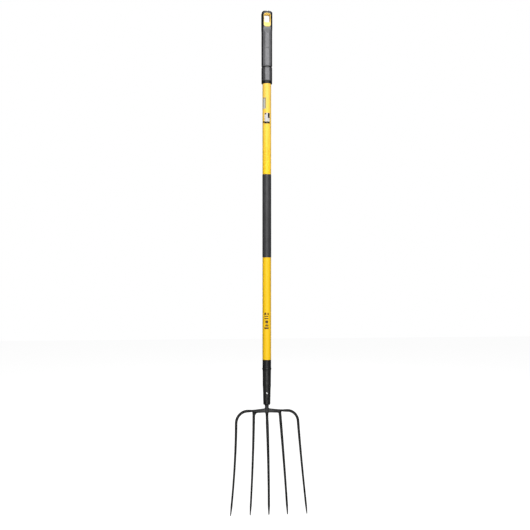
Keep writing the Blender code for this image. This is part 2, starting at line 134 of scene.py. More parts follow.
# Shaft
SHEEN_FADE = (0.26, 0.52)  # painted sheen: the yellow is palest, standing for the key light's highlight, above the first station, and full below the second
# painted sheen: the pale yellow that the jacket fades to near the grip
PAINTED_SHEEN_YELLOW = (0.88, 0.555, 0.085)
HAND_STREAKS = (160.0, 4.0, (1, 1, 0.35))
TUBE_PITCH = 0.010
TUBE_EDGE_STEPS = 5
JACKET_EDGE = 0.0004
SLEEVE_EDGE = 0.0008
COLLAR_STEPS = 96
COLLAR_WAVES = 4
COLLAR_GROOVE = 0.0003
COLLAR_SHARPNESS = 8
COLLAR_GROOVED = (0.1, 0.9)  # shares of the collar's height between which it has grooves

# Ferrule: (station, radius) down its outside, below the rolled bead
BEAD_HEIGHT = 0.0046
BEAD_STEPS = 12
BEAD_FULLNESS = 0.6
FERRULE_OUTSIDE = (
    (1.0980, 0.01290),
    (1.1230, 0.01262),
    (1.1444, 0.01260),
    (1.1536, 0.01200),
    (1.1680, 0.01150),
    (1.1872, 0.01122),
    (1.2005, 0.01085),
)
FERRULE_SHOULDER = 0.0036
FERRULE_SHOULDER_STEPS = 8
FERRULE_PITCH = 0.0005
FERRULE_SMOOTHING = 13  # stations that the outside is averaged over
FERRULE_WALL = 0.0011
FERRULE_BORE_END = 1.1400
CRIMP_TOP = 0.0190  # above the ferrule's end
CRIMP_WIDE = 0.0095
CRIMP_NARROW = 0.0016
CRIMP_PRESS = 0.38
CRIMP_EDGE = 0.0025
CRIMP_RUN = 0.5
CRIMP_SLOT = (0.0150, 0.0011, 0.0028, 0.0009)  # above the ferrule's end, half width, half height, depth
CRIMP_FACE = (0.006, 0.001)  # |y| from which the slot is cut, and the run over which it deepens
RIVET_STATION = 1.1682
RIVET_SEAT = 0.0116
RIVET_HEAD_RADIUS = 0.0035
RIVET_HEAD_HEIGHT = 0.0009
RIVET_RADIUS = 0.0025
RIVET_UNDERCUT = 0.0006
RIVET_LIP = 0.0001
RIVET_CROWN = 0.0003
RIVET_REACH = 0.02

# Head
CROSSBAR = FERRULE_END + 0.0168
TINE_DROP = 0.3023
BOW = 0.0600
BAR_RADIUS = 0.0031
ROOT_RADIUS = 0.0042
TIP_RADIUS = 0.0029
POINT_LENGTH = 0.0280
POINT_BLUNTNESS = 0.36
OUTER_BAR_DROP = 0.0014
OUTER_BAR_RISE = 0.0059
OUTER_BAR_FLAT = 0.0660
SHOULDER_RADII = {-1: 0.0360, 1: 0.0310}
OUTER_TINE = (0.0940, 0.0208, 1.57)  # root x, splay at the tip, splay exponent
INNER_BAR_DROP = 0.00345
INNER_BAR_SLOPE = 0.0300
ROOT_GAP = 0.0063
KNEE_RADIUS = 0.0045
INNER_TINE = (0.0400, 0.0161, 1.13)
CENTRE_TINE = (0.0, 0.0, 1.0)
INNER_STOUTNESS = {-1: 1.0, 1: 1.08}
CENTRE_STOUTNESS = 1.16
STOUT_RUN = 0.030  # length over which a stouter tine thickens
NECK_RADIUS = 0.0061
NECK_STOPS = (  # (drop from the crossbar, radius)
    (-0.0220, NECK_RADIUS),
    (-0.0085, 0.0059),
    (-0.0040, 0.0053),
    (0.0060, 0.0050),
    (0.0100, 0.0045),
    (0.0150, 0.0041),
)
NECK_PITCH = 0.0010
TANG = (1.1000, 0.0015, 0.0054, 24)  # tip station, tip radius, root radius, steps
TANG_OVERLAP = 0.004
LINE_PITCH = 0.0020
BEND_PITCH = 0.06  # radians
SWELL_START = 0.040  # x from which the crossbar thickens to the shoulder
TIP_STEPS = 6
POINT_STEPS = 24
POINT_CROWDING = 1.3
POINT_CURVE = 0.7
TINE_SIDES = 24

# Weld
WELD_SCALE = (0.046, 0.046, 0.046)  # colour of the enamel over the welded neck
BARE_STEEL = (0.10, 0.095, 0.09)
WEAR_RUN = 0.03  # half the height over which the wear fades out
WELD_VOXEL = 0.0005
WELD_BLEND = 0.0008
WELD_REACH = 0.0500
WELD_DROP = 0.0300
WELD_OVERLAP = 0.0060
WELD_THIN = (0.0003, 0.004)  # how much, and over what length, a bar thins where it leaves the weld
WELD_FATTEN = 0.0004
WELD_ROUNDS = 8
WELD_STEP = 0.0006
WELD_FLATTEST = 0.2  # least squared slope of the weld's distance
WELD_LUMPS = (260.0, 0.00010)  # lumps to a metre, and their height
# Rows of straight bars: first and last (x, y, drop), first and last radius, steps
WELD_BEAD = ((-0.0025, 0, 0.0005), (0.0025, 0, 0.0005), 0.0045, 0.0045, 3)
NECK_RIDGES = (
    ((0, -0.0042, -0.0168), (0, -0.0034, 0.0040), 0.0019, 0.0021, 8),
    ((0, 0.0042, -0.0168), (0, 0.0034, 0.0040), 0.0019, 0.0021, 8),
)
SIDE_RIDGES = (
    ((0.0050, -0.0016, 0.0002), (0.0370, -0.0016, 0.0030), 0.0011, 0.0008, 12),
    ((0.0050, 0.0016, 0.0002), (0.0370, 0.0016, 0.0030), 0.0011, 0.0008, 12),
)
WEBS = {
    -1: ((0.0320, -0.0004, 0.0045), (0.0392, -0.0024, 0.0150), 0.0022, 0.0020, 6),
    1: ((0.0370, -0.0004, 0.0045), (0.0392, -0.0024, 0.0150), 0.0022, 0.0020, 6),
}
KNEE_ROOT = ((0.0430, -0.0002, 0.0020), (0.0412, -0.0016, 0.0100), 0.0020, 0.0022, 6)

# Films on the jacket: (top station, end station, start degrees, end degrees) about -Y
GREY_LABEL = (0.2682, 0.3017, -66, -16)
WHITE_STICKER = (0.3147, 0.3409, -37, 35)
FILM_MARKS = (  # plain blocks printed on the films: (name, place, ink)
    ("label_border_side", (0.2692, 0.3007, -28, -17), "label_edge"),
    ("label_border_top", (0.2687, 0.2712, -60, -26), "label_edge"),
    ("sticker_block", (0.3151, 0.3303, 8, 32), "ink"),
    ("sticker_title", (0.3155, 0.3195, -33, -12), "brown_ink"),
    ("sticker_tick_left", (0.3327, 0.3352, -36, -27), "label_edge"),
    ("sticker_tick_right", (0.3327, 0.3352, 26, 34), "label_edge"),
)
FOOT_MARKS = (  # the strip below the sticker, printed on the jacket in two steps
    ("sticker_foot_left", (0.3393, 0.3445, -66, -38), "brown_ink"),
    ("sticker_foot_right", (0.3412, 0.3473, -39, 38), "ink"),
)
PALE_MARKS = (  # plain lines printed on the upper jacket
    (0.3900, 0.4130, 7, 13),
    (0.4180, 0.4360, -20, -13),
    (0.4180, 0.4460, 3, 9),
    (0.4270, 0.4430, 17, 24),
    (0.4400, 0.4610, -20, -13),
    (0.4500, 0.4610, 3, 9),
)
DARK_MARKS = (  # plain bars printed on the lower jacket
    (0.9230, 0.9296, -40, -12),
    (0.9230, 0.9296, 2, 20),
    (0.9322, 0.9350, -38, 18),
    (0.9388, 0.9424, -38, 17),
    (0.9464, 0.9548, -25, 12),
    (0.9570, 0.9588, -22, 12),
    (0.9602, 0.9646, -27, 17),
    (0.9674, 0.9724, -40, 20),
)
FILM_LIFT = 0.0003
FILM_THICKNESS = 0.00015
FILM_CORNER = 0.0015
FILM_FACET_DEGREES = 4
INK_THICKNESS = 0.00005
INK_CORNER = 0.0004
CORNER_LIMIT = 0.98  # largest share of a film's half size that its corner takes

# Photograph's viewpoint
CAMERA_AZIMUTH = -5.9
CAMERA_DISTANCE = 2.598
CAMERA_HEIGHT = -0.7656
CAMERA_OFFSET = 0.0055
LENS = 57.74
SENSOR = 36.0

# Studio: (name, place, target, width, height, watts), and then seen in gloss, spread in degrees
LAMPS = (
    ("key", (-0.20, -2.60, 0.66), (0, 0, -0.30), 0.9, 0.9, 51.0),
    ("front", (-0.20, -2.70, -0.75), (0, 0, -0.80), 0.5, 1.2, 2.5),
    ("low", (-0.20, -2.40, -1.50), (0, 0, -1.20), 0.9, 0.4, 18.0),
    ("wash", (0, -2.20, -1.05), (0, 0, -1.00), 1.8, 0.8, 22.0, False),
    ("bounce", (0, -0.90, -1.45), (0, 0, -0.02), 0.3, 0.3, 0.62, False, 35),
    ("back_left", (-1.60, 2.20, 0.20), (0, 0, -0.50), 0.9, 1.8, 18.0, False),
    ("back_right", (2.00, 1.60, 0.60), (0, 0, -0.60), 0.9, 1.8, 16.0, False),
    ("back_top", (0.60, 2.20, 1.80), (0, 0, -0.60), 0.9, 0.9, 22.0),
)
WHITE = (1, 1, 1, 1)
SKY_STRENGTHS = (1.0, 0.12, 0.02)  # as seen by the camera, by diffuse rays and by glossy rays
FLOOR_SIZE = 6.0
FLOOR_GAP = 0.001
FLOOR_TONES = ((0.29, 0.29, 0.29), (0.31, 0.31, 0.31))
FLOOR_GRAIN = 3.0
FLOOR_ROUGHNESS = 0.9
FLOOR_GLOW = 0.93


def level(station):
    """Return the Z of a distance below the grip's top end."""
    return TOP - station


def ease(value):
    """Return a smooth step from 0 to 1 as value goes from 0 to 1."""
    share = np.clip(value, 0, 1)
    return share * share * (3 - 2 * share)


# ---- materials


def plug(tree, socket, value):
    """Set an input to a value, or link it from an output."""
    if isinstance(value, bpy.types.NodeSocket):
        tree.links.new(value, socket)
    else:
        socket.default_value = value


def add(tree, kind, *inputs, **settings):
    """Add a shader node with its own settings; inputs are (name or index, value or output) pairs."""
    node = tree.nodes.new("ShaderNode" + kind)
    for name, value in settings.items():
        setattr(node, name, value)
    for key, value in inputs:
        plug(tree, node.inputs[key], value)
    return node


def surface_place(tree, stretch=(1, 1, 1)):
    """Return object coordinates, scaled along each axis."""
    place = add(tree, "TexCoord").outputs["Object"]
    return add(tree, "Mapping", ("Vector", place), ("Scale", stretch)).outputs["Vector"]


def grain(tree, scale, detail=3.0, stretch=(1, 1, 1)):
    """Return a noise value from 0 to 1 with features about 1/scale metres across."""
    place = surface_place(tree, stretch)
    return add(tree, "TexNoise", ("Vector", place), ("Scale", scale), ("Detail", detail)).outputs["Fac"]


def ranged(tree, value, low, high, start=0.3, stop=0.7):
    """Return a value stretched so that start gives low and stop gives high."""
    inputs = (("Value", value), ("From Min", start), ("From Max", stop), ("To Min", low), ("To Max", high))
    return add(tree, "MapRange", *inputs).outputs["Result"]


def arithmetic(tree, operation, first, second):
    """Return a Math node's result."""
    return add(tree, "Math", (0, first), (1, second), operation=operation).outputs[0]


def blend_colour(tree, share, first, second):
    """Return a colour between two, each a colour or an output."""
    node = add(tree, "Mix", ("Factor", share), data_type="RGBA")
    plug(tree, node.inputs[6], first if isinstance(first, bpy.types.NodeSocket) else (*first, 1))
    plug(tree, node.inputs[7], second if isinstance(second, bpy.types.NodeSocket) else (*second, 1))
    return node.outputs[2]


def bumped(tree, height, distance, strength=1.0, before=None):
    """Return a normal bent by a height value, on top of an earlier one if given."""
    inputs = [("Height", height), ("Distance", distance), ("Strength", strength)]
    if before is not None:
        inputs.append(("Normal", before))
    return add(tree, "Bump", *inputs).outputs["Normal"]


def object_axes(tree):
    """Return the outputs X, Y and Z of the place on the tool."""
    return add(tree, "SeparateXYZ", ("Vector", surface_place(tree))).outputs


def new_material(name):
    """Return a new material, its node tree and its Principled shader's inputs."""
    material = bpy.data.materials.new(name)
    material.use_nodes = True
    return material, material.node_tree, material.node_tree.nodes["Principled BSDF"].inputs


def moulded(pores, depth, mottle=(60.0, 4.0), detail=2.0, strength=0.6):
    """Return the texture of a moulded face: clouds, streaks from hands, and pores on slight waves."""
    bumps = ((depth * 2.0, 0.35, 90.0, 2.0), (depth, strength, pores, detail))
    return mottle, HAND_STREAKS, bumps, 0.0


def fibrous(scale):
    """Return the texture of a material with fibres along Z: pultruded glass or straight-grained wood."""
    fibres = (scale, 5.0, (1, 1, 0.02))
    return fibres, fibres, ((0.0002, 0.5, *fibres),), 0.0


def make_finish(name, dark, light, roughness, texture, tint=None, relief=None):
    """Make a material from a texture: grain of the colour, grain of the gloss, bumps, and metallic share.

    A bump is a depth, a strength and a grain. tint changes the colour, and relief the normal.
    """
    material, tree, inputs = new_material(name)
    mottle, streaks, bumps, metallic = texture
    inputs["Metallic"].default_value = metallic
    colour = blend_colour(tree, ranged(tree, grain(tree, *mottle), 0.0, 1.0), dark, light)
    normal = None
    for depth, strength, *settings in bumps:
        normal = bumped(tree, grain(tree, *settings), depth, strength, normal)
    plug(tree, inputs["Base Color"], tint(tree, colour) if tint else colour)
    plug(tree, inputs["Roughness"], ranged(tree, grain(tree, *streaks), *roughness))
    plug(tree, inputs["Normal"], relief(tree, normal) if relief else normal)
    return material


def with_painted_sheen(tree, colour):
    """Paint a sheen on the jacket: fade its yellow paler towards the grip, where the key light's highlight
    falls.
    """
    down = arithmetic(tree, "SUBTRACT", TOP, object_axes(tree)["Z"])
    return blend_colour(tree, ranged(tree, down, 1.0, 0.0, *SHEEN_FADE), colour, PAINTED_SHEEN_YELLOW)


def two_tone_and_painted_shade(tree, clouds):
    """Colour the grip: grey front and back panels on black sides and a black lip, with painted shade
    blackening the groove and darkening the lower chamfers.
    """
    place = object_axes(tree)
    out = arithmetic(tree, "ABSOLUTE", place["X"], 0.0)
    down = arithmetic(tree, "SUBTRACT", TOP, place["Z"])
    top, end, _ = GRIP_GROOVE
    chamfer_start = PAD_HALF_WIDTH + PAD_MOAT_WIDTH
    head = ranged(tree, out, 0.0, 1.0, *HEAD_PANEL)
    in_head = ranged(tree, down, 1.0, 0.0, *HEAD_PANEL_END)
    lip = ranged(tree, down, 0.0, 1.0, GRIP_LIP_TOP, GRIP_LIP_TOP + GRIP_EDGE)
    past_top = ranged(tree, down, 0.0, 1.0, top, top + GRIP_EDGE)
    # painted shade: the groove turns black, and the chamfers below it darken
    in_groove_shade = arithmetic(tree, "LESS_THAN", down, end - GROOVE_PAINTED_SHADE_END)
    chamfer = ranged(tree, out, 0.0, 1.0, chamfer_start, chamfer_start + PAD_MOAT_WIDTH)
    shadow = ranged(tree, down, 1.0, LOWER_CHAMFER_PAINTED_SHADE, end - GRIP_EDGE, end)
    lower = arithmetic(tree, "MULTIPLY", chamfer, shadow)
    black_and_shade_share = arithmetic(tree, "MAXIMUM", ranged(tree, out, 0.0, 1.0, *GREY_PANEL), lip)
    for first, second in ((head, in_head), (past_top, in_groove_shade), (past_top, lower)):
        mask = arithmetic(tree, "MULTIPLY", first, second)
        black_and_shade_share = arithmetic(tree, "MAXIMUM", black_and_shade_share, mask)
    panels = blend_colour(tree, black_and_shade_share, GRIP_GREY, GRIP_BLACK)
    return add(tree, "VectorMath", (0, panels), (1, clouds), operation="MULTIPLY").outputs[0]


def knurled(tree, normal):
    """Lay fine moulded diamonds over a normal."""
    place = object_axes(tree)
    ridges = []
    for operation in ("ADD", "SUBTRACT"):
        lean = arithmetic(tree, operation, place["X"], arithmetic(tree, "MULTIPLY", place["Z"], KNURL_LEAN))
        wave = arithmetic(tree, "PINGPONG", lean, KNURL_PITCH)
        ridges.append(arithmetic(tree, "DIVIDE", wave, KNURL_PITCH))
    return bumped(tree, arithmetic(tree, "MULTIPLY", *ridges), *KNURL_BUMP, normal)


def worn(tree, colour):
    """Turn the enamel greyer round the welded neck, and rub it bare low on the tines."""
    place = object_axes(tree)
    out = arithmetic(tree, "ABSOLUTE", place["X"], 0.0)
    by_neck = ranged(tree, out, 1.0, 0.0, NECK_RADIUS, NECK_RADIUS * 4)
    neck_levels = (level(CROSSBAR + NECK_RADIUS), level(CROSSBAR + NECK_RADIUS / 2))
    above = ranged(tree, place["Z"], 0.0, 1.0, *neck_levels)
    colour = blend_colour(tree, arithmetic(tree, "MULTIPLY", by_neck, above), colour, WELD_SCALE)
    tip = level(CROSSBAR + TINE_DROP)
    low = ranged(tree, place["Z"], 1.0, 0.0, tip - WEAR_RUN, tip + WEAR_RUN)
    patches = ranged(tree, grain(tree, 420.0, 5.0, (1, 1, 0.3)), 0.0, 1.0, 0.48, 0.66)
    return blend_colour(tree, arithmetic(tree, "MULTIPLY", low, patches), colour, BARE_STEEL)


def make_finishes():
    """Make every material of the fork, by name."""
    rubber = moulded(2600.0, 0.00008, detail=3.0, strength=0.5)
    jacket = moulded(1800.0, 0.00003, (260.0, 3.0, (1, 1, 0.03)))
    knurls = ((80.0, 4.0), (220.0,), ((0.00005, 0.5, 2600.0, 2.0),), 0.0)
    enamel = ((140.0, 5.0), (260.0, 4.0), ((0.0004, 0.35, 180.0, 3.0), (0.00006, 0.5, 1400.0, 2.0)), 0.25)
    turning = ((500.0, 3.0), (900.0,), ((0.00004, 0.5, 2400.0, 2.0, (1, 0.2, 1)),), 1.0)
    print_on = ((900.0, 3.0), (300.0,), ((0.00003, 0.4, 1200.0, 2.0),), 0.0)
    plastic = moulded(1500.0, 0.00004)
    soft = moulded(2200.0, 0.00007)
    hard = moulded(2000.0, 0.00005)
    glass = fibrous(900.0)
    wood = fibrous(700.0)
    pad_dark, pad_light = (0.15, 0.15, 0.158), (0.185, 0.185, 0.195)
    satin = (0.40, 0.55)
    matt = (0.40, 0.60)
    rows = {
        "rubber": ("soft_grip_rubber", (0.86,) * 3, (1.14,) * 3, (0.40, 0.50), rubber, two_tone_and_painted_shade),
        "pad": ("knurled_grip_pad", pad_dark, pad_light, (0.38, 0.48), knurls, None, knurled),
        "core": ("eyelet_plastic", (0.86, 0.62, 0.13), (0.94, 0.70, 0.19), (0.38, 0.48), plastic),
        # painted sheen: the jacket's yellow turns paler towards the grip
        "jacket": ("shaft_yellow", (0.90, 0.535, 0.004), (0.98, 0.595, 0.008), (0.50, 0.58), jacket, with_painted_sheen),
        "sleeve": ("sleeve_rubber", (0.035, 0.035, 0.037), (0.048, 0.048, 0.051), (0.42, 0.52), soft),
        "collar": ("collar_plastic", (0.009, 0.009, 0.010), (0.015, 0.015, 0.016), (0.40, 0.54), hard),
        "ferrule": ("ferrule_enamel", (0.016, 0.016, 0.016), (0.031, 0.031, 0.030), (0.34, 0.50), enamel),
        "tine": ("tine_enamel", (0.004,) * 3, (0.009,) * 3, (0.42, 0.58), enamel, worn),
        "rivet": ("rivet_steel", (0.74, 0.74, 0.75), (0.92, 0.92, 0.91), (0.28, 0.42), turning),
        "label": ("grey_label_film", (0.40, 0.40, 0.37), (0.50, 0.50, 0.47), satin, print_on),
        "label_edge": ("label_border_ink", (0.26, 0.19, 0.05), (0.34, 0.26, 0.08), satin, print_on),
        "sticker": ("white_sticker_film", (0.47, 0.46, 0.455), (0.54, 0.53, 0.525), satin, print_on),
        "ink": ("black_ink", (0.006, 0.005, 0.004), (0.014, 0.012, 0.010), matt, print_on),
        "brown_ink": ("brown_ink", (0.060, 0.028, 0.002), (0.110, 0.055, 0.006), matt, print_on),
        "pale_ink": ("pale_ink", (0.66, 0.37, 0.004), (0.72, 0.41, 0.006), (0.50, 0.60), print_on),
        "tube": ("glass_fibre", (0.55, 0.57, 0.44), (0.70, 0.72, 0.60), (0.50, 0.70), glass),
        "dowel": ("dowel_wood", (0.36, 0.22, 0.11), (0.60, 0.42, 0.25), (0.60, 0.80), wood),
    }
    return {key: make_finish(*row) for key, row in rows.items()}


# ---- mesh tools


def skin(rings, loop=False):
    """Join equal rings of points in order into a bmesh; close the ends unless the rings make a loop."""
    count = len(rings[0])
    points = np.concatenate([np.asarray(ring, float).reshape(-1, 3) for ring in rings])
    bm = bmesh.new()
    verts = [bm.verts.new(point) for point in points]
    for i in range(len(rings) if loop else len(rings) - 1):
        here = i * count
        after = (i + 1) % len(rings) * count
        for k in range(count):
            n = (k + 1) % count
            bm.faces.new((verts[here + k], verts[here + n], verts[after + n], verts[after + k]))
    if not loop:
        bm.faces.new(verts[:count])
        bm.faces.new(verts[-count:])
    bmesh.ops.recalc_face_normals(bm, faces=bm.faces)
    return bm


def linked(name, data):
    """Make an object of a mesh, lamp or camera, and put it in the scene."""
    obj = bpy.data.objects.new(name, data)
    bpy.context.scene.collection.objects.link(obj)
    return obj


def shade(mesh):
    """Shade a mesh smooth but for its sharp edges."""
    mesh.shade_smooth()
    mesh.set_sharp_from_angle(angle=math.radians(SHARP_DEGREES))


def to_object(name, bm):
    """Turn a bmesh into a linked object, shaded smooth but for its sharp edges."""
    mesh = bpy.data.meshes.new(name)
    bm.to_mesh(mesh)
    bm.free()
    shade(mesh)
    return linked(name, mesh)


def reshape(bm, change):
    """Move a bmesh's points by a function that edits them in place."""
    points = np.array([vert.co for vert in bm.verts])
    change(points)
    for vert, point in zip(bm.verts, points):
        vert.co = point


def settle(obj):
    """Replace an object's mesh by what its modifiers make of it."""
    made = bpy.data.meshes.new_from_object(obj.evaluated_get(bpy.context.evaluated_depsgraph_get()))
    obj.modifiers.clear()
    obj.data = made
    return obj


def combine(target, tool, operation):
    """Apply an exact Boolean of a tool object to a target, and remove the tool."""
    modifier = target.modifiers.new("combine", "BOOLEAN")
    modifier.operation = operation
    modifier.solver = "EXACT"
    modifier.object = tool
    settle(target)
    bpy.data.objects.remove(tool)
    shade(target.data)


def dress(obj, finish, slot, *nodes):
    """Give a piece its material and its body, and hide the CAD nodes that it stands for; slot is not used."""
    obj.data.materials.clear()
    obj.data.materials.append(finish)
    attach(obj, "root")
    if nodes:
        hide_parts(*nodes)
    return obj


def turned(outline, sides=ROUND_SIDES, loop=True):
    """Turn an outline of (radius, station) points about Z."""
    angles = np.arange(sides) * math.tau / sides
    rings = []
    for radius, station in outline:
        flat = np.full(sides, level(station))
        rings.append(np.stack([radius * np.cos(angles), radius * np.sin(angles), flat], 1))
    return skin(rings, loop)


def arc(centre, radius, start, stop, steps):
    """Return points of an arc as (first + radius cos, second + radius sin), in degrees."""
    points = []
    for k in range(steps + 1):
        angle = math.radians(start + (stop - start) * k / steps)
        points.append((centre[0] + radius * math.cos(angle), centre[1] + radius * math.sin(angle)))
    return points


def rounded_outline(top, end, half_width, top_radius, end_radius, inset=0.0, steps=10):
    """Return (x, station) points round an upright block seen from the front, moved in by an inset."""
    half = half_width - inset
    upper = top + inset
    lower = end - inset
    high = max(top_radius - inset, LEAST_RADIUS)
    low = max(end_radius - inset, LEAST_RADIUS)
    outline = arc((half - low, lower - low), low, 0, 90, steps)
    outline += arc((low - half, lower - low), low, 90, 180, steps)
    outline += arc((high - half, upper + high), high, 180, 270, steps)
    outline += arc((half - high, upper + high), high, 270, 360, steps)
    return outline


def upright_ring(outline, y):
    """Return a ring of points at one depth from (x, station) points."""
    return [(x, y, level(station)) for x, station in outline]


def resampled(outline, count):
    """Return points evenly spaced round a closed outline, from its first point."""
    closed = np.array(list(outline) + [outline[0]])
    lengths = np.concatenate([[0], np.cumsum(np.linalg.norm(np.diff(closed, axis=0), axis=1))])
    wanted = np.arange(count) * lengths[-1] / count
    return np.stack([np.interp(wanted, lengths, closed[:, i]) for i in range(closed.shape[1])], 1)


# ---- end grip


def grip_section(half_width, half_depth, chamfer):
    """Return the grip's cross-section: a rectangle with wide chamfers and eased corners."""
    x, y, c = half_width, half_depth, chamfer
    corners = [(0, -y), (x - c, -y), (x, c - y), (x, y - c), (x - c, y)]
    corners += [(c - x, y), (-x, y - c), (-x, c - y), (c - x, -y)]
    outline = [Vector(corners[0])]
    for i in range(1, len(corners)):
        before = Vector(corners[i - 1])
        here = Vector(corners[i])
        after = Vector(corners[(i + 1) % len(corners)])
        reach = min(GRIP_CORNER_EASE, (here - before).length / 2, (after - here).length / 2)
        first = here + (before - here).normalized() * reach
        last = here + (after - here).normalized() * reach
        for share in (0, 0.25, 0.5, 0.75, 1):
            outline.append(first.lerp(here, share).lerp(here.lerp(last, share), share))
    return resampled([tuple(point) for point in outline], GRIP_SIDES)


def grip_size(station):
    """Return the grip's half width, half depth and chamfer at a station."""
    turn = float(ease((station - GRIP_HEAD_END) / (GRIP_PANEL_TOP - GRIP_HEAD_END)))
    depth, chamfer = (head + (body - head) * turn for head, body in zip(GRIP_HEAD, GRIP_BODY))
    top, end, deep = GRIP_GROOVE
    inside = deep * float(min(ease((station - top) / GRIP_EDGE), ease((end - station) / GRIP_EDGE)))
    inside += GRIP_EDGE * float(ease((station - GRIP_END + GRIP_EDGE) / GRIP_EDGE))
    slope = GRIP_LIP_SLOPE * float(np.clip((station - GRIP_LIP_TOP) / (GRIP_END - GRIP_LIP_TOP), 0, 1)) ** 0.5
    return GRIP_HALF_WIDTH - inside, depth - inside - slope, chamfer


def grip_rings():
    """Return the overmould's outer rings from its domed top down to its lip."""
    start = math.radians(DOME_START)
    width, depth, chamfer = grip_size(DOME_HEIGHT)
    sizes = []
    for k in range(DOME_STEPS + 1):
        angle = start + (math.pi / 2 - start) * k / DOME_STEPS
        station = DOME_HEIGHT * (1 - math.cos(angle) / math.cos(start))
        share = math.sin(angle)
        deep = share ** DOME_ROUNDNESS
        sizes.append((station, width * share, depth * deep, chamfer * deep))
    steps = round((GRIP_END - DOME_HEIGHT) / GRIP_PITCH)
    for k in range(1, steps + 1):
        station = DOME_HEIGHT + (GRIP_END - DOME_HEIGHT) * k / steps
        sizes.append((station, *grip_size(station)))
    return [[(x, y, level(station)) for x, y in grip_section(*size)] for station, *size in sizes]


def block_distance(x, station, top, end, half_width, corner):
    """Return how far points lie outside a rounded block seen from the front; negative inside."""
    middle = (top + end) / 2
    over_x = np.abs(x) - (half_width - corner)
    over_z = np.abs(station - middle) - ((end - top) / 2 - corner)
    outside = np.hypot(np.maximum(over_x, 0), np.maximum(over_z, 0))
    return outside + np.minimum(np.maximum(over_x, over_z), 0) - corner


def carve_grip(points):
    """Sink a moat round each pad, and roll the window's edge in, on front and back."""
    station = TOP - points[:, 2]
    depth = np.zeros(len(points))
    for top, end in PADS:
        away = block_distance(points[:, 0], station, top, end, PAD_HALF_WIDTH, PAD_CORNER)
        across = np.abs(away - PAD_MOAT_WIDTH / 2) / (PAD_MOAT_WIDTH * PAD_MOAT_REACH)
        depth = np.maximum(depth, PAD_MOAT_DEPTH * ease(1 - across))
    top, end, half_width, corner, _ = EYELET
    away = block_distance(points[:, 0], station, top, end, half_width, corner) / WINDOW_LIP
    edge = 1 - np.clip(away, 0, 1)
    depth = np.maximum(depth, WINDOW_LIP * (1 - np.sqrt(1 - edge**2 * WINDOW_ROUNDNESS)))
    facing = ease((np.abs(points[:, 1]) - GRIP_HALF_WIDTH * FACING_SHARE) / FACING_EDGE)
    points[:, 1] -= np.sign(points[:, 1]) * depth * facing


def end_grip(finishes):
    """Make the soft overmould with its three pads a side, cut out for the eyelet and shaft."""
    bm = skin(grip_rings())
    reshape(bm, carve_grip)
    grip = to_object("end_grip_overmould_look", bm)
    outline = rounded_outline(*EYELET, -FIT)
    window = [upright_ring(outline, y) for y in (-GRIP_HALF_WIDTH * 2, GRIP_HALF_WIDTH * 2)]
    combine(grip, to_object("window", skin(window)), "DIFFERENCE")
    bore = JACKET_RADIUS + FIT
    neck = STEM_RADIUS + FIT
    stem_top = EYELET[1] - EYELET[4]
    step = [(AXIS, stem_top), (neck, stem_top), (neck, STEM_STEP), (bore, STEM_STEP)]
    step += [(bore, GRIP_END + bore), (AXIS, GRIP_END + bore)]
    combine(grip, to_object("bore", turned(step, BORE_SIDES, loop=False)), "DIFFERENCE")
    dress(grip, finishes["rubber"], "grip_rubber", "end_grip_overmould")
    grip.data.materials.append(finishes["pad"])
    centres = np.array([face.center for face in grip.data.polygons])
    on_face = np.abs(centres[:, 1]) > GRIP_BODY[0] * PAD_FACE_SHARE
    for pad in PADS:
        away = block_distance(centres[:, 0], TOP - centres[:, 2], *pad, PAD_HALF_WIDTH, PAD_CORNER)
        for k in np.flatnonzero((away < 0) & on_face):
            grip.data.polygons[k].material_index = 1


def end_grip_core(finishes):
    """Make the yellow eyelet round the hang hole, with rolled rims, on its stem."""
    depth = CORE_HIGH.y
    rim = [(EYELET_RIM * (1 - math.sin(angle)), EYELET_RIM * (1 - math.cos(angle))) for angle in QUARTER_TURN]
    loops = []
    for shape, outward, side in ((EYELET, 1, -1), (EYELET, 1, 1), (HOLE, -1, 1), (HOLE, -1, -1)):
        for inset, sunk in rim[::side]:
            outline = resampled(rounded_outline(*shape, outward * inset), EYELET_SIDES)
            loops.append(upright_ring(outline, side * (depth - sunk)))
    core = to_object("end_grip_core_look", skin(loops, loop=True))
    stem_top = EYELET[1] - STEM_OVERLAP
    stem = [(AXIS, stem_top), (STEM_RADIUS, stem_top), (STEM_RADIUS, STEM_STEP - FIT)]
    stem += [(SPIGOT_RADIUS, STEM_STEP - FIT), (SPIGOT_RADIUS, SPIGOT_END - SPIGOT_CHAMFER)]
    stem += [(SPIGOT_RADIUS - SPIGOT_CHAMFER, SPIGOT_END), (AXIS, SPIGOT_END)]
    combine(core, to_object("stem", turned(stem, BORE_SIDES, loop=False)), "UNION")
    dress(core, finishes["core"], "core_plastic", "end_grip_core")


# ---- shaft


def eased_tube(bore, radius, top, end, edge):
    """Return the outline of a tube with rounded outer edges."""
    outline = [(bore, top)] + arc((radius - edge, top + edge), edge, 270, 360, TUBE_EDGE_STEPS)
    count = max(2, round((end - top) / TUBE_PITCH))
    outline += [(radius, top + edge + (end - top - 2 * edge) * k / count) for k in range(1, count)]
    return outline + arc((radius - edge, end - edge), edge, 0, 90, TUBE_EDGE_STEPS) + [(bore, end)]


def shaft_tubes(finishes):
    """Make the two yellow jackets and the grip sleeve between them."""
    rows = (
        ("shaft_jacket_upper", "jacket", "jacket_plastic", JACKET_EDGE),
        ("mid_grip_sleeve", "sleeve", "sleeve_rubber", SLEEVE_EDGE),
        ("shaft_jacket_lower", "jacket", "jacket_plastic", JACKET_EDGE),
    )
    for node, finish, slot, edge in rows:
        low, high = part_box(node)
        outline = eased_tube(TUBE_RADIUS + FIT, high.x, TOP - high.z, TOP - low.z, edge)
        dress(to_object(node + "_look", turned(outline)), finishes[finish], slot, node)


